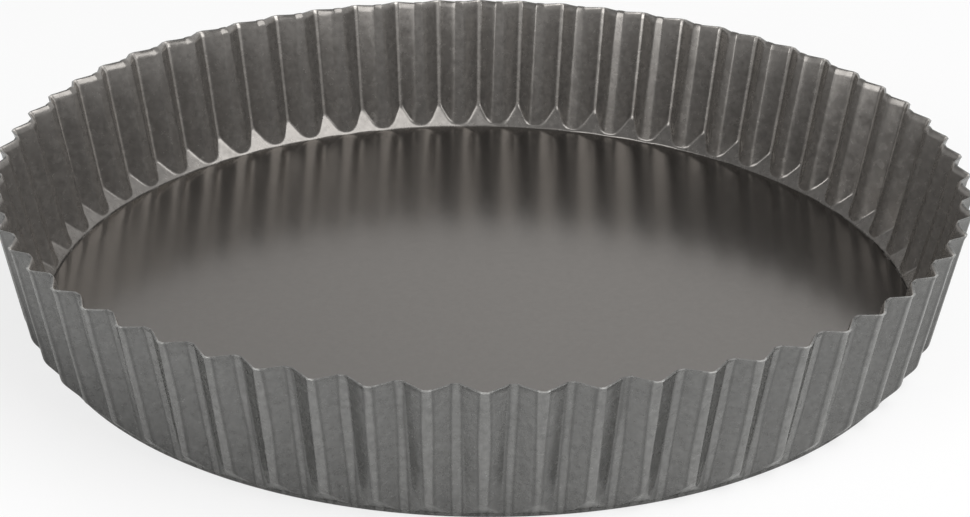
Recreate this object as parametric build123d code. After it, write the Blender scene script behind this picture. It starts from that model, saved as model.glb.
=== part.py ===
from build123d import *
from math import atan2, cos, radians, sin, tan
import os

# Fluted tart tin in two pressings: a fluted ring with a narrow ledge inside its foot,
# and a flat loose base that lies on the ledge. Lengths are in millimetres, angles in
# degrees. The origin is the middle of the tin on the plane it stands on, and +Z is up.

# The whole tin
rim_diameter = 252.2  # across the outward ridges, at the rim
tin_height = 38.4  # from the plane it stands on to the rim, in mid-fold
rim_drop = 0.7  # how much lower the rim lies on the ridges, as it is cut square to the wall
wall_flare = 12.7  # how far the ridges lean outwards from upright
flute_count = 62

# The ring, with the sizes of its flutes taken where the ridges meet the rim
sheet = 0.6  # thickness, steel and coating together
flute_depth = 3.0  # from the ridges in to the folds, on one face of the sheet
flute_bend = 1.2  # radius along each ridge and fold, on the side where it stands out
foot_slope = 46.2  # of the facets that end the grooves, from level
foot_step = 0.8  # how far the foot comes in under the folds, down to the seat
foot_chamfer = 0.5  # of the outside edge, where the foot turns in to the ledge
ledge_width = 10.0  # from the seat in to the push-up hole

# Shares of one flute's pitch that lie flat
ridge_flat_share = 0.15
fold_flat_share = 0.20

# The loose base
base_thickness = 0.6
base_clearance = 0.4  # all round, between the base and its seat

# How far a cutting shape runs past what it cuts
overrun = 2.0

# The ridges, folds and flanks all point at one apex on the axis, far below the tin
rim_radius = rim_diameter / 2
flute_angle = 360 / flute_count
ridge_top = tin_height - rim_drop
apex_level = ridge_top - rim_radius / tan(radians(wall_flare))


def narrowing_share(level):
    """How wide the fluted wall is at a level, as a share of its width at the ridges' tops."""
    return (level - apex_level) / (ridge_top - apex_level)


# The seat, the base in it and the hole under it
seat_level = sheet + base_thickness
fold_radius = rim_radius - flute_depth - sheet
seat_radius = fold_radius * narrowing_share(seat_level) - foot_step
base_radius = seat_radius - base_clearance
hole_radius = seat_radius - ledge_width


def nearest(shapes, place):
    """The edge or vertex whose centre lies nearest to a place."""
    return min(shapes, key=lambda shape: (shape.center() - place).length)


def flute_points(inset, level):
    """One flute's outline across the tin, from mid-fold round its ridge to mid-fold and the axis.

    The ridge points along +Y. The inset is 0 on the outside of the sheet, and the sheet inside it.
    """
    ridge_turn = radians(flute_angle) * ridge_flat_share / 2
    fold_turn = radians(flute_angle) * (1 - fold_flat_share) / 2
    middle_turn = radians(flute_angle) / 2
    ridge = Vector(sin(ridge_turn), cos(ridge_turn)) * rim_radius
    fold = Vector(sin(fold_turn), cos(fold_turn)) * (rim_radius - flute_depth)
    flank_turn = atan2(ridge.Y - fold.Y, fold.X - ridge.X)
    step = Vector(inset * tan(flank_turn / 2), inset)
    ridge = ridge - step
    fold = fold - step
    middle_way = Vector(sin(middle_turn), cos(middle_turn))
    middle = middle_way * fold.dot(middle_way)
    right = [middle, fold, ridge]
    left = [Vector(-place.X, place.Y) for place in reversed(right)]
    share = narrowing_share(level)
    return [Vector(place.X * share, place.Y * share, level) for place in right + left + [Vector()]]


def flute_body(inset, top):
    """One flute as a solid wedge that tapers down the wall, rounded where the sheet stands out."""
    low = flute_points(inset, -overrun)
    high = flute_points(inset, top)
    faces = [Face(Wire.make_polygon(low)), Face(Wire.make_polygon(high))]
    for number in range(len(low)):
        following = (number + 1) % len(low)
        corners = [low[number], low[following], high[following], high[number]]
        faces.append(Face(Wire.make_polygon(corners)))
    body = Solid(Shell(faces))
    middle, fold, ridge, other_ridge, other_fold = [(a + b) / 2 for a, b in zip(low, high)][:5]
    corners = (fold, other_fold) if inset else (ridge, other_ridge)
    edges = [nearest(body.edges(), place) for place in corners]
    return fillet(edges, flute_bend)


def rim_level(reach):
    """Where the rim's plane across one flute lies, at a distance from the axis along the flute."""
    ridge = flute_points(0, ridge_top)[2]
    fold = flute_points(sheet, tin_height)[0]
    return ridge_top + rim_drop * (ridge.Y - reach) / (ridge.Y - fold.Y)


def trimming_body(inset, lift):
    """What one flute is trimmed to: a round cup for the ledge and seat, the facet and the rim."""
    outward = sheet - inset
    slope_rise = tan(radians(foot_slope))
    radius = seat_radius + outward
    knee = seat_level - outward * tan(radians(90 - foot_slope) / 2)
    lap = 2 * radius * (1 - cos(radians(flute_angle) / 2))
    near = radius - lap
    far = rim_radius + overrun
    height = tin_height + lift - inset
    cup = Pos(0, 0, inset) * Cylinder(radius, height, align=(Align.CENTER, Align.CENTER, Align.MIN))
    if outward:
        cup = chamfer(nearest(cup.edges(), Vector(0, 0, inset)), foot_chamfer)
    section = Polyline(
        (0, near, knee - lap * slope_rise),
        (0, far, knee + (far - radius) * slope_rise),
        (0, far, rim_level(far) + lift),
        (0, near, rim_level(near) + lift),
        close=True,
    )
    return cup + extrude(make_face(section), far, both=True)


def make_fluted_ring():
    """The pressed ring: one flute with its share of the foot and ledge, repeated all round."""
    top = tin_height + overrun
    outside = flute_body(0, top) & trimming_body(0, 0)
    inside = flute_body(sheet, top + overrun) & trimming_body(sheet, overrun)
    hole = Cylinder(hole_radius, sheet + 2 * overrun)
    flute = outside - inside - hole
    flutes = [flute.rotate(Axis.Z, number * flute_angle) for number in range(flute_count)]
    return flutes[0].fuse(*flutes[1:])


def make_loose_base():
    """The flat round plate that lies on the ledge."""
    upward = (Align.CENTER, Align.CENTER, Align.MIN)
    return Pos(0, 0, sheet) * Cylinder(base_radius, base_thickness, align=upward)


os.makedirs("parts", exist_ok=True)
export_step(make_fluted_ring(), "parts/fluted_ring.step")
export_step(make_loose_base(), "parts/loose_base.step")
print(f"seat {seat_radius:.2f}, base {base_radius:.2f} and hole {hole_radius:.2f} mm in radius")
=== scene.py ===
from math import atan2, cos, pi, radians, sin, tan

import bpy
import numpy as np
from mathutils import Matrix, Vector


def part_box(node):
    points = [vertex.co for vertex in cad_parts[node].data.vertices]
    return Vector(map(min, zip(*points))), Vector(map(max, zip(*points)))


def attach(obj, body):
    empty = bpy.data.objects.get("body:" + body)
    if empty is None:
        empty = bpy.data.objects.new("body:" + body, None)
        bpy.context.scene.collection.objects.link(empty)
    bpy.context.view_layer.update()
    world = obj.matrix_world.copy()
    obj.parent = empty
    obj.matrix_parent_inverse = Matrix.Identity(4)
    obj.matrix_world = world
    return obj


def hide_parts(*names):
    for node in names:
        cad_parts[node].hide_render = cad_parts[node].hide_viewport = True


# The tin in metres. Both pressings are meshed here with rounder bends than their CAD nodes,
# and keep the same places: the origin is the middle of the tin on the plane it stands on,
# +Z is up, and the photograph was taken from the -Y side.
MM = 0.001

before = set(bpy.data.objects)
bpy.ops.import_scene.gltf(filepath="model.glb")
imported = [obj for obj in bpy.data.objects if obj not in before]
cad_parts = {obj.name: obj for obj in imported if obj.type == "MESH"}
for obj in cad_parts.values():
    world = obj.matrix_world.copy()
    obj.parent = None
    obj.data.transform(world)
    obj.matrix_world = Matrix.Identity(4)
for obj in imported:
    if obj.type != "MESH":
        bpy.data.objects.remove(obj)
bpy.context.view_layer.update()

# The fluted ring: its outside in mid-ridge and in mid-fold, at the rim and run on down to the
# floor. The folds lean out more than the ridges, so the flutes are deepest low down.
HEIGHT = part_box("fluted_ring")[1].z
RIM_LEVEL = 38.0 * MM
RIDGE_AT_RIM = 125.45 * MM
RIDGE_AT_FLOOR = 117.88 * MM
FOLD_AT_RIM = 122.6 * MM
FOLD_AT_FLOOR = 114.5 * MM
FLUTES = 62
SHEET = 0.6 * MM

# How much lower the rim lies on the ridges than in the folds
RIDGE_DROP = 0.6 * MM

# Shares of a flute that lie flat: its ridge, and its fold at the rim, low down and at the foot
RIDGE_FLAT_SHARE = 0.12
RIM_FOLD_FLAT_SHARE = 0.18
LOW_FOLD_FLAT_SHARE = 0.28
FOOT_FOLD_FLAT_SHARE = 0.42

# The foot: the slope of its facets, the seat that the loose base lies in, and the push-up hole
FACET_ANGLE = radians(46.2)
SEAT_RADIUS = 113.71 * MM
SEAT_LEVEL = 1.2 * MM
HOLE_RADIUS = 103.71 * MM

# The loose base
BASE_RADIUS = 113.31 * MM
BASE_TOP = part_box("loose_base")[1].z
BASE_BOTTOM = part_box("loose_base")[0].z

# Bends across the flutes: of the ridges, of the folds, and of the folds' round lower ends
RIDGE_BEND = 1.2 * MM
RIM_FOLD_BEND = 1.5 * MM
LOW_FOLD_BEND = 2.6 * MM
FOOT_FOLD_BEND = 4.2 * MM
FOOT_ROUND_HEIGHT = 9.0 * MM

# Bends down the section: how far each reaches from its corner, and the most that a crease
# may take of its facet
CREASE_REACH = 0.9 * MM
OUTER_CREASE_REACH = CREASE_REACH + SHEET * 0.3
CREASE_FACET_SHARE = 0.45
KNEE_REACH = 0.3 * MM
FOOT_REACH = 0.5 * MM
SEAT_BEND = 0.25 * MM
EDGE_ROUND = 0.16 * MM

# The lip: the last of the wall turns out a little, and more so at the left of the back
LIP_HEIGHT = 1.8 * MM
LIP = 0.5 * MM
BENT_LIP = 0.85 * MM
BENT_LIP_AT = radians(-50)
BENT_LIP_SPREAD = radians(22)

# How far one flute differs from the next, drawn at random from this seed
SEED = 62
RIDGE_WANDER = 0.07 * MM
TURN_WANDER = radians(0.035)
FACET_WANDER = 0.10 * MM
RIM_WANDER = 0.08 * MM
LIP_WANDER = 0.15 * MM

# The mesh: steps across each bend and flank of a flute, and those of the finer outline that
# the inside is read from
BEND_STEPS, FLANK_STEPS = 3, 4
FINE_BEND_STEPS, FINE_FLANK_STEPS = 12, 8

# Steps down the section, and the wall's rows between the crease and the lip
EDGE_STEPS = 2
LEDGE_STEPS = 2
KNEE_STEPS = 3
FACET_STEPS = 3
CREASE_STEPS = 5
LIP_STEPS = 4
FOOT_STEPS = 4
WALL_ROW_SHARES = (0.06, 0.13, 0.22, 0.45, 0.72)

# Rounds that settle the crease, where the facet meets the wall
CREASE_TRIES = 12

# The base's mesh
BASE_COLUMNS = 248
BASE_RINGS = 22
BASE_EDGE_STEPS = 3

# The coatings: the two greys of the mottle, how much streaks darken it, the tint, the range of
# the roughness, and the strength of the orange peel. The ring's outside has a cooler tint.
WALL_COATING = {
    "greys": (0.107, 0.182),
    "streakiness": 0.14,
    "tint": (1.0, 0.95, 0.895),
    "outside_tint": (0.98, 0.977, 0.952),
    "roughness": (0.20, 0.30),
    "metallic": 0.42,
    "ior": 1.72,
    "specular": 1.0,
    "mottle_scale": 620.0,
    "peel": 0.12,
}
BASE_COATING = {
    "greys": (0.165, 0.173),
    "streakiness": 0.05,
    "tint": (1.0, 0.963, 0.927),
    "roughness": (0.18, 0.21),
    "metallic": 0.94,
    "ior": 1.5,
    "specular": 0.5,
    "mottle_scale": 1000.0,
    "peel": 0.1,
}

# Noise runs from about 0.3 to 0.7. Streaks and wavers are stretched: their scale per axis.
NOISE_LOW, NOISE_HIGH = 0.3, 0.7
STREAK_SCALE = (520, 520, 170)
WAVER_SCALE = (110, 110, 12)

# The gloss's and the peel's scales, as shares of the mottle's, and how high the peel stands
GLOSS_SCALE_SHARE = 0.6
PEEL_SCALE_SHARE = 0.8
PEEL_HEIGHT = 0.02 * MM

# A face looks outwards where its place times its normal is over this, and inwards where it is
# under minus this
FACING_REACH = 0.2 * BASE_RADIUS

# Painted highlights and shade on the outside across a flute: the high stops on the ridge and the
# fold stand in for highlights, the low ones beside them and on the flanks are painted shade.
# Stops from mid-fold, 0, to mid-ridge, 1, and how far they waver
PAINTED_BEND_STOPS = (
    (0.0, 1.0), (0.015, 1.0), (0.07, 0.38), (0.16, 0.72), (0.80, 0.72), (0.91, 0.38), (0.965, 1.0)
)
PAINTED_BEND_WAVER = 0.05

# A painted highlight down each groove inside: how much paler the coating is painted in a thin
# line there, from how near to the middle of the groove, and from which level up
GROOVE_HIGHLIGHT = 2.3
GROOVE_HIGHLIGHT_SHARES = (0.985, 0.998)
GROOVE_FOOT = 6.3 * MM
GROOVE_FADE = 1.0 * MM

# A painted highlight along the rim's edge on the ridges: how much paler it is painted, how far
# down at all and to the full, and how far round, with the middle of a ridge at 1
RIM_HIGHLIGHT = 2.2
RIM_HIGHLIGHT_REACH = 0.45 * MM
RIM_HIGHLIGHT_FULL = RIM_HIGHLIGHT_REACH / 3
RIM_HIGHLIGHT_SHARES = (0.7, 0.9)

# The camera, as fitted to the photograph
VIEW_DISTANCE = 655.69 * MM
VIEW_RISE = radians(26.0076)
VIEW_PAN = radians(0.1033)
VIEW_TILT = radians(0.6984)
VIEW_ROLL = radians(0.6606)
VIEW_TURN = radians(0.6011)
LENS_MM = 91.84
SENSOR_MM = 36.0
CLIP_START = 10.0 * MM

# The studio's light by direction, a vector of length 1. Each fade gives its two levels, and the
# places of both along one axis: X runs to the right, Y to the back and Z up.
LIGHT_RISE = (0.65, 0.38, 0.15, 0.75)
LIGHT_BACK = (1.0, 0.7, -0.4, 0.4)

# Its shares along X near the horizon and higher up, and where along Z the second take over
LOW_SIDES = (1.15, 0.96, -0.7, 0.0)
HIGH_SIDES = (0.4, 1.25, -0.6, 0.3)
HIGH_UP = (0.0, 1.0, 0.15, 0.4)

# The backdrop along Z, up to its ceiling, and along Y as mirrors see it
BACKDROP_RISE = (1.0, 0.5, 0.55, 0.85)
BACKDROP_BACK = (0.7, 1.0, -0.3, 0.5)

# The lamps: where they stand in degrees and metres, their size in metres and their radiance
TOP_SOFTBOX = {
    "azimuth": 64, "elevation": 55, "distance": 1.5, "width": 1.4, "height": 1.2, "radiance": 3.5
}
FRONT_SOFTBOX = {
    "azimuth": -44, "elevation": 25, "distance": 1.8, "width": 0.85, "height": 1.2, "radiance": 4.4
}

# The floor, and how much of it the camera sees as plain white
FLOOR_GREY = 0.9
FLOOR_ROUGHNESS = 0.9
FLOOR_SPECULAR = 0.1
FLOOR_WHITE_SHARE = 0.75
FLOOR_REACH = 3.0
WHITE = (1, 1, 1, 1)

FLUTE_ANGLE = radians(360) / FLUTES
rng = np.random.default_rng(SEED)


def arc(corner, before, after, radius, steps):
    """Points along the rounding of a corner between two straight runs."""
    corner, before, after = (np.array(place) for place in (corner, before, after))
    back = (before - corner) / np.linalg.norm(before - corner)
    ahead = (after - corner) / np.linalg.norm(after - corner)
    half = np.arccos(np.clip(back @ ahead, -1, 1)) / 2
    middle = corner + (back + ahead) / np.linalg.norm(back + ahead) * radius / sin(half)
    start = corner + back * radius / tan(half) - middle
    end = corner + ahead * radius / tan(half) - middle
    share = np.linspace(0, 1, steps + 1)[:, None]
    turn = np.arccos(np.clip(start @ end / radius ** 2, -1, 1))
    return middle + (np.sin((1 - share) * turn) * start + np.sin(share * turn) * end) / sin(turn)


def half_flute(sizes, inset, bends, steps):
    """Half a flute's outline at one level, from mid-ridge on +Y to mid-fold, with round bends.

    The sizes are the ridge's and the fold's radius and the fold's flat share. The bends are
    the ridge's and the fold's, and the steps those of a bend and of the flank.
    """
    ridge_radius, fold_radius, fold_share = sizes
    ridge_bend, fold_bend = bends
    bend_steps, flank_steps = steps
    ridge_turn = FLUTE_ANGLE * RIDGE_FLAT_SHARE / 2
    fold_turn = FLUTE_ANGLE * (1 - fold_share) / 2
    ridge = np.array([sin(ridge_turn) * ridge_radius, ridge_radius])
    fold = np.array([sin(fold_turn), cos(fold_turn)]) * fold_radius
    flank_turn = atan2(ridge[1] - fold[1], fold[0] - ridge[0])
    step = np.array([inset * tan(flank_turn / 2), inset])
    ridge, fold = ridge - step, fold - step
    way = np.array([sin(FLUTE_ANGLE / 2), cos(FLUTE_ANGLE / 2)])
    middle = way * (fold @ way)
    top = np.array([0, ridge[1]])
    ridge_arc = arc(ridge, top, fold, ridge_bend, bend_steps)
    fold_arc = arc(fold, ridge, middle, fold_bend, bend_steps)
    share = np.linspace(0, 1, flank_steps + 1)[1:-1, None]
    flank = ridge_arc[-1] * (1 - share) + fold_arc[0] * share
    return np.vstack([top, ridge_arc, flank, fold_arc, middle])


def polar(points):
    """The points' turns from +Y and their distances from the axis."""
    return np.arctan2(points[:, 0], points[:, 1]), np.hypot(points[:, 0], points[:, 1])


def all_round(values, sign=1):
    """Half a flute's values, mirrored and repeated for all the flutes."""
    return np.tile(np.concatenate([sign * values[:0:-1], values[:-1]]), FLUTES)


def level_outline(ridge_radius, fold_radius, fold_share, fold_bend, columns=None):
    """At one level, every column's turn from its ridge and the sheet's outer and inner radii.

    Where columns are given, as turns, the radii are read at those.
    """
    sizes = (ridge_radius, fold_radius, fold_share)
    outer_bends, inner_bends = (RIDGE_BEND, fold_bend - SHEET), (RIDGE_BEND - SHEET, fold_bend)
    fine_steps = (FINE_BEND_STEPS, FINE_FLANK_STEPS)
    turn, outer = polar(half_flute(sizes, 0, outer_bends, (BEND_STEPS, FLANK_STEPS)))
    fine_turn, fine_inner = polar(half_flute(sizes, SHEET, inner_bends, fine_steps))
    if columns is not None:
        half = np.abs(columns)
        return columns, np.interp(half, turn, outer), np.interp(half, fine_turn, fine_inner)
    inner = np.interp(turn, fine_turn, fine_inner)
    return all_round(turn, -1), all_round(outer), all_round(inner)


def wander(number, turn, reach, low=-1, high=1):
    """One value per column that drifts smoothly from ridge to fold to ridge."""
    ridges = rng.uniform(low, high, FLUTES) * reach
    folds = rng.uniform(low, high, FLUTES) * reach
    fold_index = np.where(turn < 0, number - 1, number) % FLUTES
    share = (1 + np.cos(np.abs(turn) / FLUTE_ANGLE * radians(360))) / 2
    return ridges[number] * share + folds[fold_index] * (1 - share)


def bend(start, corner, end, steps):
    """A column's rounding of a corner, from start to end: a list of (radius, level)."""
    out = []
    for share in np.linspace(0, 1, steps + 1):
        weights = ((1 - share) ** 2, 2 * share * (1 - share), share ** 2)
        places = (start, corner, end)
        out.append(tuple(sum(w * place[axis] for w, place in zip(weights, places)) for axis in (0, 1)))
    return out


def toward(start, end, reach):
    """The place that lies a distance from start on the way to end."""
    run = np.hypot(end[0] - start[0], end[1] - start[1])
    share = reach / run
    return start[0] + (end[0] - start[0]) * share, start[1] + (end[1] - start[1]) * share


def rounded(before, corner, after, reach, steps, after_reach=None):
    """The rounding of a corner, from a reach before it to a reach after it."""
    after_reach = reach if after_reach is None else after_reach
    return bend(toward(corner, before, reach), corner, toward(corner, after, after_reach), steps)


def between(start, end, steps):
    """The places inside a straight run that divide it into steps."""
    shares = np.linspace(0, 1, steps + 1)[1:-1]
    return [tuple(start[axis] * (1 - s) + end[axis] * s for axis in (0, 1)) for s in shares]


def smooth_share(share):
    """A share that eases in and out between 0 and 1."""
    share = np.clip(share, 0, 1)
    return share * share * (3 - 2 * share)


def wall_radius(radii, level):
    """The wall's radius at a level, from its radii at the rim, at the floor and for a round foot."""
    high, low, foot = radii
    round_share = smooth_share(1 - level / FOOT_ROUND_HEIGHT)
    return low + (high - low) * (level / RIM_LEVEL) + (foot - low) * round_share


def wall_side(radii, cos_turn, seat, knee, rim):
    """One face of the sheet, as corners: the knee over its seat, the facet's crease and the rim."""
    slope = tan(FACET_ANGLE)
    level = np.full_like(cos_turn, SEAT_LEVEL)
    for attempt in range(CREASE_TRIES):
        level = knee + slope * (wall_radius(radii, level) * cos_turn - seat)
    knee_level = knee + slope * seat * (cos_turn - 1)
    corner = (np.full_like(cos_turn, seat), knee_level)
    return corner, (wall_radius(radii, level), level), (wall_radius(radii, rim), rim)


def along_wall(radii, start, end):
    """Places on one face of the wall between two others, closer together low down."""
    low, high = (start[1], end[1]) if np.mean(start[1]) < np.mean(end[1]) else (end[1], start[1])
    levels = [low + (high - low) * share for share in WALL_ROW_SHARES]
    rows = [(wall_radius(radii, level), level) for level in levels]
    return rows if low is start[1] else rows[::-1]


def crease_reach(crease, knee, reach):
    """How far a crease is rounded, which leaves the middle of the facet flat."""
    run = np.hypot(crease[0] - knee[0], crease[1] - knee[1])
    return np.minimum(reach, run * CREASE_FACET_SHARE)


def ring_profile(cos_turn, outer_radii, inner_radii, facet_shift, rim):
    """The ring's closed section in every column, as a list of (radii, levels)."""
    knee_out = SEAT_LEVEL - SHEET * tan(radians(45) - FACET_ANGLE / 2) + facet_shift
    knee_in = SEAT_LEVEL + facet_shift
    in_knee, in_crease, in_rim = wall_side(inner_radii, cos_turn, SEAT_RADIUS, knee_in, rim)
    out_knee, out_crease, out_rim = wall_side(outer_radii, cos_turn, SEAT_RADIUS + SHEET, knee_out, rim)
    flat = np.zeros_like(cos_turn)
    seat_corner = (flat + SEAT_RADIUS, flat + SHEET)
    foot_corner = (flat + SEAT_RADIUS + SHEET, flat)
    hole_top = (flat + HOLE_RADIUS, flat + SHEET)
    hole_low = (flat + HOLE_RADIUS, flat)
    in_reach = crease_reach(in_crease, in_knee, CREASE_REACH)
    out_reach = crease_reach(out_crease, out_knee, OUTER_CREASE_REACH)

    # From the hole out over the ledge, and up the inside to the rim
    loop = rounded(hole_low, hole_top, seat_corner, EDGE_ROUND, EDGE_STEPS)
    seat = rounded(hole_top, seat_corner, in_knee, SEAT_BEND, EDGE_STEPS)
    loop += between(loop[-1], seat[0], LEDGE_STEPS) + seat
    loop += rounded(seat_corner, in_knee, in_crease, KNEE_REACH, KNEE_STEPS)
    crease = rounded(in_knee, in_crease, in_rim, in_reach, CREASE_STEPS)
    loop += between(loop[-1], crease[0], FACET_STEPS) + crease
    lip = toward(in_rim, in_crease, LIP_HEIGHT)
    edge = rounded(in_crease, in_rim, out_rim, EDGE_ROUND, EDGE_STEPS)
    loop += along_wall(inner_radii, loop[-1], lip) + [lip] + between(lip, edge[0], LIP_STEPS) + edge

    # Down the outside to the foot, and back in under the ledge
    lip = toward(out_rim, out_crease, LIP_HEIGHT)
    edge = rounded(in_rim, out_rim, out_crease, EDGE_ROUND, EDGE_STEPS)
    loop += edge + between(edge[-1], lip, LIP_STEPS) + [lip]
    crease = rounded(out_rim, out_crease, out_knee, out_reach, CREASE_STEPS)
    loop += along_wall(outer_radii, lip, crease[0]) + crease
    knee = rounded(out_crease, out_knee, foot_corner, KNEE_REACH, KNEE_STEPS, KNEE_REACH / 2)
    loop += between(loop[-1], knee[0], FACET_STEPS) + knee
    loop += rounded(out_knee, foot_corner, hole_low, FOOT_REACH, FOOT_STEPS)
    hole = rounded(foot_corner, hole_low, hole_top, EDGE_ROUND, EDGE_STEPS)
    return loop + between(loop[-1], hole[0], LEDGE_STEPS) + hole


def grid(x, y, z, wrap_rows=True):
    """Places and quads of a grid whose columns run round the axis, and whose rows may close too."""
    columns, rows = x.shape
    places = np.stack([x, y, z], -1).reshape(-1, 3)
    column, row = np.meshgrid(np.arange(columns), np.arange(rows), indexing="ij")
    after, above = (column + 1) % columns * rows, (row + 1) % rows
    quads = np.stack([column * rows + row, after + row, after + above, column * rows + above], -1)
    if not wrap_rows:
        quads = quads[:, :-1]
    return places.tolist(), quads.reshape(-1, 4).tolist()


def fan(centre, rim):
    """The triangles that close a hole round its centre."""
    return [(centre, here, there) for here, there in zip(rim, rim[1:] + rim[:1])]


def add_piece(name, places, faces, material, body, node):
    """A visible piece that rides a body and stands in for that body's CAD node."""
    mesh = bpy.data.meshes.new(name)
    mesh.from_pydata(places, [], faces)
    mesh.polygons.foreach_set("use_smooth", [True] * len(mesh.polygons))
    mesh.materials.append(material)
    piece = bpy.data.objects.new(name, mesh)
    bpy.context.scene.collection.objects.link(piece)
    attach(piece, body)
    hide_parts(node)


def make_ring(material):
    """The fluted ring: its section in every column, twisted to each flute's place and lipped."""
    low = level_outline(RIDGE_AT_FLOOR, FOLD_AT_FLOOR, LOW_FOLD_FLAT_SHARE, LOW_FOLD_BEND)
    foot = level_outline(RIDGE_AT_FLOOR, FOLD_AT_FLOOR, FOOT_FOLD_FLAT_SHARE, FOOT_FOLD_BEND, low[0])
    high = level_outline(RIDGE_AT_RIM, FOLD_AT_RIM, RIM_FOLD_FLAT_SHARE, RIM_FOLD_BEND)
    number = np.repeat(np.arange(FLUTES), len(low[0]) // FLUTES)
    turn = low[0]
    fold_share = (1 - np.cos(np.abs(turn) / FLUTE_ANGLE * radians(360))) / 2
    rim = HEIGHT - RIDGE_DROP * (1 - fold_share) + wander(number, turn, RIM_WANDER, -1, 0)
    drift = wander(number, turn, RIDGE_WANDER, -1, 0)
    facet_shift = wander(number, turn, FACET_WANDER)
    outer_radii, inner_radii = ((high[face] + drift, low[face], foot[face]) for face in (1, 2))
    section = ring_profile(np.cos(turn), outer_radii, inner_radii, facet_shift, rim)
    radius = np.stack([place[0] for place in section], -1)
    level = np.stack([place[1] for place in section], -1)

    height_share = np.clip(level / RIM_LEVEL, 0, 1)
    twist = (number * FLUTE_ANGLE + wander(number, turn, TURN_WANDER))[:, None]
    angle = twist + low[0][:, None] * (1 - height_share) + high[0][:, None] * height_share
    around = (number * FLUTE_ANGLE + turn + radians(180)) % radians(360) - radians(180)
    bent = BENT_LIP * np.exp(-(((around - BENT_LIP_AT) / BENT_LIP_SPREAD) ** 2))
    lip = LIP + bent + wander(number, turn, LIP_WANDER, -1, 0)
    lip_share = np.clip(1 - (rim[:, None] - level) / LIP_HEIGHT, 0, 1)
    radius = radius + lip[:, None] * lip_share ** 2
    places, faces = grid(radius * np.sin(angle), radius * np.cos(angle), level)
    add_piece("fluted_ring_shell", places, faces, material, "ring", "fluted_ring")


def make_base(material):
    """The loose base: a flat disc with rounded edges."""
    edge = BASE_RADIUS - EDGE_ROUND
    radii = np.linspace(edge / BASE_RINGS, edge, BASE_RINGS)
    top = [(radius, BASE_TOP) for radius in radii]
    low = [(radius, BASE_BOTTOM) for radius in radii[::-1]]
    side_top, side_low = BASE_TOP - EDGE_ROUND, BASE_BOTTOM + EDGE_ROUND
    top_edge = bend(top[-1], (BASE_RADIUS, BASE_TOP), (BASE_RADIUS, side_top), BASE_EDGE_STEPS)
    low_edge = bend((BASE_RADIUS, side_low), (BASE_RADIUS, BASE_BOTTOM), low[0], BASE_EDGE_STEPS)
    profile = top + top_edge[1:] + low_edge[:-1] + low
    angle = np.linspace(0, radians(360), BASE_COLUMNS, endpoint=False)
    radius = np.array([place[0] for place in profile])
    level = np.array([place[1] for place in profile])
    x = np.outer(np.sin(angle), radius)
    y = np.outer(np.cos(angle), radius)
    z = np.tile(level, (BASE_COLUMNS, 1))
    places, faces = grid(x, y, z, wrap_rows=False)
    count = len(places)
    rows = len(profile)
    top_rim = [column * rows for column in range(BASE_COLUMNS)]
    low_rim = [column * rows + rows - 1 for column in range(BASE_COLUMNS)]
    faces += fan(count, top_rim[::-1]) + fan(count + 1, low_rim)
    places += [(0, 0, BASE_TOP), (0, 0, BASE_BOTTOM)]
    add_piece("loose_base_disc", places, faces, material, "base", "loose_base")


class Tree:
    """The nodes of a material or of the world, added and linked in short calls.

    Where a call takes a value, it takes a number, a colour or another node's output. Sockets
    go by number where a node has several of one name.
    """

    def __init__(self, owner):
        owner.use_nodes = True
        self.nodes = owner.node_tree.nodes
        self.links = owner.node_tree.links

    def put(self, socket, value):
        """Link a node's output to a socket, or set a plain value on the socket itself."""
        if isinstance(value, bpy.types.NodeSocket):
            self.links.new(value, socket)
        else:
            socket.default_value = value

    def add(self, kind, inputs, **settings):
        """A new node. Its settings come first, because they decide which inputs it has."""
        node = self.nodes.new(kind)
        for name, setting in settings.items():
            setattr(node, name, setting)
        for key, value in inputs.items():
            self.put(node.inputs[key], value)
        return node

    def coordinates(self, kind):
        return self.nodes.new("ShaderNodeTexCoord").outputs[kind]

    def axes(self, kind):
        """The X, Y and Z of one kind of coordinates."""
        return self.add("ShaderNodeSeparateXYZ", {"Vector": self.coordinates(kind)}).outputs

    def noise(self, scale, detail, roughness=0.6, stretch=(1, 1, 1)):
        place = self.add("ShaderNodeMapping", {"Vector": self.coordinates("Object"), "Scale": stretch})
        inputs = {"Vector": place.outputs["Vector"], "Scale": scale}
        inputs |= {"Detail": detail, "Roughness": roughness}
        return self.add("ShaderNodeTexNoise", inputs).outputs["Fac"]

    def spread(self, source, low, high, low_at=NOISE_LOW, high_at=NOISE_HIGH):
        """A value that fades from low to high while its source runs between two levels."""
        inputs = {"Value": source, "From Min": low_at, "From Max": high_at}
        inputs |= {"To Min": low, "To Max": high}
        return self.add("ShaderNodeMapRange", inputs).outputs["Result"]

    def reckon(self, operation, first, second=0):
        """One sum of two values."""
        return self.add("ShaderNodeMath", {0: first, 1: second}, operation=operation).outputs["Value"]

    def product(self, first, *others):
        """Several values multiplied."""
        for other in others:
            first = self.reckon("MULTIPLY", first, other)
        return first

    def greatest(self, first, *others):
        """The highest of several values."""
        for other in others:
            first = self.reckon("MAXIMUM", first, other)
        return first

    def mixed(self, factor, first, second):
        """A value between two others."""
        return self.add("ShaderNodeMix", {0: factor, 2: first, 3: second}).outputs[0]

    def mixed_colour(self, factor, first, second, blend_type="MIX"):
        """A colour between two others, or blended from them."""
        inputs = {0: factor, 6: first, 7: second}
        node = self.add("ShaderNodeMix", inputs, data_type="RGBA", blend_type=blend_type)
        return node.outputs[2]

    def stepped(self, source, stops):
        """Levels at several positions along a source, joined by straight runs."""
        node = self.add("ShaderNodeValToRGB", {"Fac": source})
        elements = node.color_ramp.elements
        while len(elements) < len(stops):
            elements.new(0.5)
        for element, (position, level) in zip(elements, stops):
            element.position = position
            element.color = (level, level, level, 1)
        return node.outputs["Color"]


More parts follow.
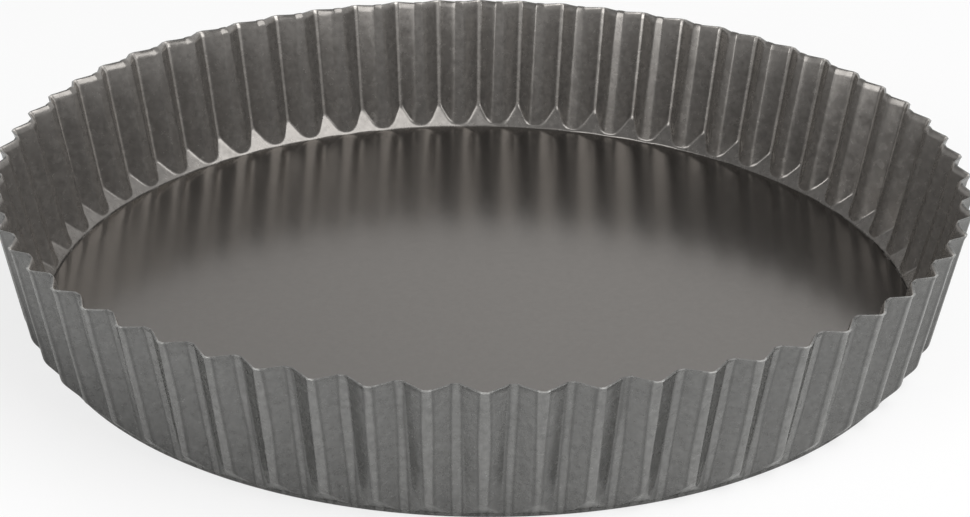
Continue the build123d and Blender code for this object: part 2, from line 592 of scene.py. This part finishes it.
def facing_out(tree):
    """1 on faces turned away from the tin's axis, and 0 on those turned to it."""
    inputs = {0: tree.coordinates("Object"), 1: tree.coordinates("Normal")}
    facing = tree.add("ShaderNodeVectorMath", inputs, operation="DOT_PRODUCT").outputs["Value"]
    return tree.spread(facing, 0.0, 1.0, -FACING_REACH, FACING_REACH)


def painted_groove_highlights(tree, level, ridge, outside):
    """A painted highlight: the coating painted paler in a thin line down the middle of each groove
    inside.
    """
    above = tree.spread(level, 0.0, 1.0, GROOVE_FOOT, GROOVE_FOOT + GROOVE_FADE)
    line = tree.spread(ridge, 0.0, GROOVE_HIGHLIGHT - 1, *GROOVE_HIGHLIGHT_SHARES)
    inside = tree.reckon("SUBTRACT", 1.0, outside)
    return tree.reckon("ADD", tree.product(line, above, inside), 1.0)


def painted_rim_highlight(tree, level, ridge):
    """A painted highlight: the coating painted paler along the rim's edge on the ridges."""
    levelled = tree.reckon("ADD", tree.product(ridge, RIDGE_DROP), level)
    highlight_from, highlight_full = HEIGHT - RIM_HIGHLIGHT_REACH, HEIGHT - RIM_HIGHLIGHT_FULL
    edge = tree.spread(levelled, 0.0, RIM_HIGHLIGHT - 1, highlight_from, highlight_full)
    on_ridge = tree.spread(ridge, 0.0, 1.0, *RIM_HIGHLIGHT_SHARES)
    return tree.reckon("ADD", tree.product(edge, on_ridge), 1.0)


def painted_bend_light_and_shade(tree, ridge, outside):
    """Painted highlights and shade across each flute outside: paler on its ridge and fold, darker
    beside them and on its flanks, a little uneven.
    """
    unevenness = tree.noise(1.0, detail=1.0, stretch=WAVER_SCALE)
    waver = tree.spread(unevenness, -PAINTED_BEND_WAVER, PAINTED_BEND_WAVER)
    pale = tree.stepped(tree.reckon("ADD", ridge, waver), PAINTED_BEND_STOPS)
    return tree.mixed(outside, 1.0, pale)


def painted_flute_light(tree, outside):
    """Painted highlights and shade on the ring's coating, from its place on its flute."""
    axes = tree.axes("Object")
    turn = tree.reckon("ARCTAN2", axes["X"], axes["Y"])
    wave = tree.reckon("COSINE", tree.product(turn, FLUTES))
    ridge = tree.spread(wave, 0.0, 1.0, -1.0, 1.0)
    lines = painted_groove_highlights(tree, axes["Z"], ridge, outside)
    return tree.product(lines, painted_rim_highlight(tree, axes["Z"], ridge), painted_bend_light_and_shade(tree, ridge, outside))


def coating(name, greys, streakiness, tint, roughness, metallic, ior, specular, mottle_scale, peel,
            outside_tint=None):
    """Baked non-stick coating: mottled colour and gloss, with a faint orange peel.

    One with an outside tint is the ring's, and has painted highlights and shade along its flutes and a
    painted highlight along its rim.
    """
    material = bpy.data.materials.new(name)
    tree = Tree(material)
    sockets = tree.nodes["Principled BSDF"].inputs
    mottle = tree.spread(tree.noise(mottle_scale, detail=4.0, roughness=0.65), *greys)
    streaks = tree.noise(1.0, detail=3.0, stretch=STREAK_SCALE)
    shade = tree.product(mottle, tree.spread(streaks, 1 - streakiness, 1.0))
    tint = (*tint, 1)
    if outside_tint:
        outside = facing_out(tree)
        # Painted highlights and shade along the flutes, and a painted highlight along the rim
        shade = tree.product(shade, painted_flute_light(tree, outside))
        tint = tree.mixed_colour(outside, tint, (*outside_tint, 1))
    gloss = tree.noise(mottle_scale * GLOSS_SCALE_SHARE, detail=2.0)
    height = tree.noise(mottle_scale * PEEL_SCALE_SHARE, detail=2.0)
    relief = tree.add("ShaderNodeBump", {"Strength": peel, "Distance": PEEL_HEIGHT, "Height": height})
    tree.put(sockets["Base Color"], tree.mixed_colour(1.0, shade, tint, "MULTIPLY"))
    tree.put(sockets["Specular Tint"], tint)
    tree.put(sockets["Roughness"], tree.spread(gloss, *roughness))
    tree.put(sockets["Normal"], relief.outputs["Normal"])
    tree.put(sockets["Metallic"], metallic)
    tree.put(sockets["IOR"], ior)
    tree.put(sockets["Specular IOR Level"], specular)
    return material


def turned(first, second, angle):
    """Two directions at right angles, the first turned towards the second by an angle."""
    return first * cos(angle) + second * sin(angle), second * cos(angle) - first * sin(angle)


def make_camera():
    """The photograph's camera: far back, looking down into the tin, a little turned and rolled."""
    stand = Vector((0, -VIEW_DISTANCE * cos(VIEW_RISE), VIEW_DISTANCE * sin(VIEW_RISE)))
    ahead = -stand.normalized()
    right = Vector((1, 0, 0))
    up = right.cross(ahead)
    ahead, right = turned(ahead, right, VIEW_PAN)
    ahead, up = turned(ahead, up, VIEW_TILT)
    right, up = turned(right, up, VIEW_ROLL)
    pose = Matrix((right, up, -ahead)).transposed().to_4x4()
    pose.translation = stand
    place = Matrix.Rotation(-VIEW_TURN, 4, "Z") @ pose
    place.translation += Vector((0, 0, BASE_TOP))
    data = bpy.data.cameras.new("camera")
    data.lens = LENS_MM
    data.sensor_width = SENSOR_MM
    data.clip_start = CLIP_START
    camera = bpy.data.objects.new("camera", data)
    camera.matrix_world = place
    bpy.context.scene.collection.objects.link(camera)
    bpy.context.scene.camera = camera


def direction(azimuth, elevation):
    """The way to a lamp: its azimuth runs from the front, -Y, to the right."""
    azimuth, elevation = radians(azimuth), radians(elevation)
    return Vector((sin(azimuth) * cos(elevation), -cos(azimuth) * cos(elevation), sin(elevation)))


def add_softbox(name, azimuth, elevation, distance, width, height, radiance):
    """A rectangular lamp aimed at the tin, of an even radiance."""
    data = bpy.data.lights.new(name, "AREA")
    data.shape = "RECTANGLE"
    data.size = width
    data.size_y = height
    data.energy = radiance * pi * width * height
    light = bpy.data.objects.new(name, data)
    way = direction(azimuth, elevation)
    light.location = way * distance
    light.rotation_euler = way.to_track_quat("Z", "Y").to_euler()
    bpy.context.scene.collection.objects.link(light)


def make_world():
    """A pale studio that lights the tin, and the brighter backdrop that is seen behind it.

    The camera sees the backdrop white up to its ceiling. Mirrors and glass see it too, dimmer
    to the front, and dimmer to the left above the horizon.
    """
    world = bpy.data.worlds.new("studio")
    tree = Tree(world)
    axes = tree.axes("Generated")
    low_sides, high_sides = (tree.spread(axes["X"], *fade) for fade in (LOW_SIDES, HIGH_SIDES))
    side = tree.mixed(tree.spread(axes["Z"], *HIGH_UP), low_sides, high_sides)
    rise = tree.spread(axes["Z"], *LIGHT_RISE)
    light = tree.product(rise, tree.spread(axes["Y"], *LIGHT_BACK), side)

    rays = tree.nodes.new("ShaderNodeLightPath").outputs
    backdrop = tree.spread(axes["Z"], *BACKDROP_RISE)
    dimming = tree.product(tree.spread(axes["Y"], *BACKDROP_BACK), tree.reckon("MINIMUM", side, 1.0))
    dimming = tree.greatest(dimming, rays["Is Camera Ray"])
    seen = tree.greatest(rays["Is Camera Ray"], rays["Is Glossy Ray"], rays["Is Transmission Ray"])
    sockets = tree.nodes["Background"].inputs
    tree.put(sockets["Color"], WHITE)
    tree.put(sockets["Strength"], tree.greatest(light, tree.product(backdrop, dimming, seen)))
    bpy.context.scene.world = world


def make_floor():
    """A pale floor. The camera sees it mostly as white card, with a faint share of its shading."""
    material = bpy.data.materials.new("studio_floor")
    tree = Tree(material)
    shader = tree.nodes["Principled BSDF"]
    tree.put(shader.inputs["Base Color"], (FLOOR_GREY, FLOOR_GREY, FLOOR_GREY, 1))
    tree.put(shader.inputs["Roughness"], FLOOR_ROUGHNESS)
    tree.put(shader.inputs["Specular IOR Level"], FLOOR_SPECULAR)
    card = tree.add("ShaderNodeEmission", {"Color": WHITE, "Strength": 1.0})
    camera_ray = tree.nodes.new("ShaderNodeLightPath").outputs["Is Camera Ray"]
    share = tree.product(camera_ray, FLOOR_WHITE_SHARE)
    inputs = {0: share, 1: shader.outputs["BSDF"], 2: card.outputs["Emission"]}
    mix = tree.add("ShaderNodeMixShader", inputs)
    tree.put(tree.nodes["Material Output"].inputs["Surface"], mix.outputs["Shader"])
    mesh = bpy.data.meshes.new("studio_floor")
    reach = FLOOR_REACH
    corners = [(-reach, -reach, 0), (reach, -reach, 0), (reach, reach, 0), (-reach, reach, 0)]
    mesh.from_pydata(corners, [], [(0, 1, 2, 3)])
    mesh.materials.append(material)
    floor = bpy.data.objects.new("studio_floor", mesh)
    bpy.context.scene.collection.objects.link(floor)


make_camera()
make_ring(coating("wall_coating", **WALL_COATING))
make_base(coating("base_coating", **BASE_COATING))
make_floor()
make_world()
add_softbox("top_softbox", **TOP_SOFTBOX)
add_softbox("front_softbox", **FRONT_SOFTBOX)
bpy.context.scene.view_settings.view_transform = "Standard"
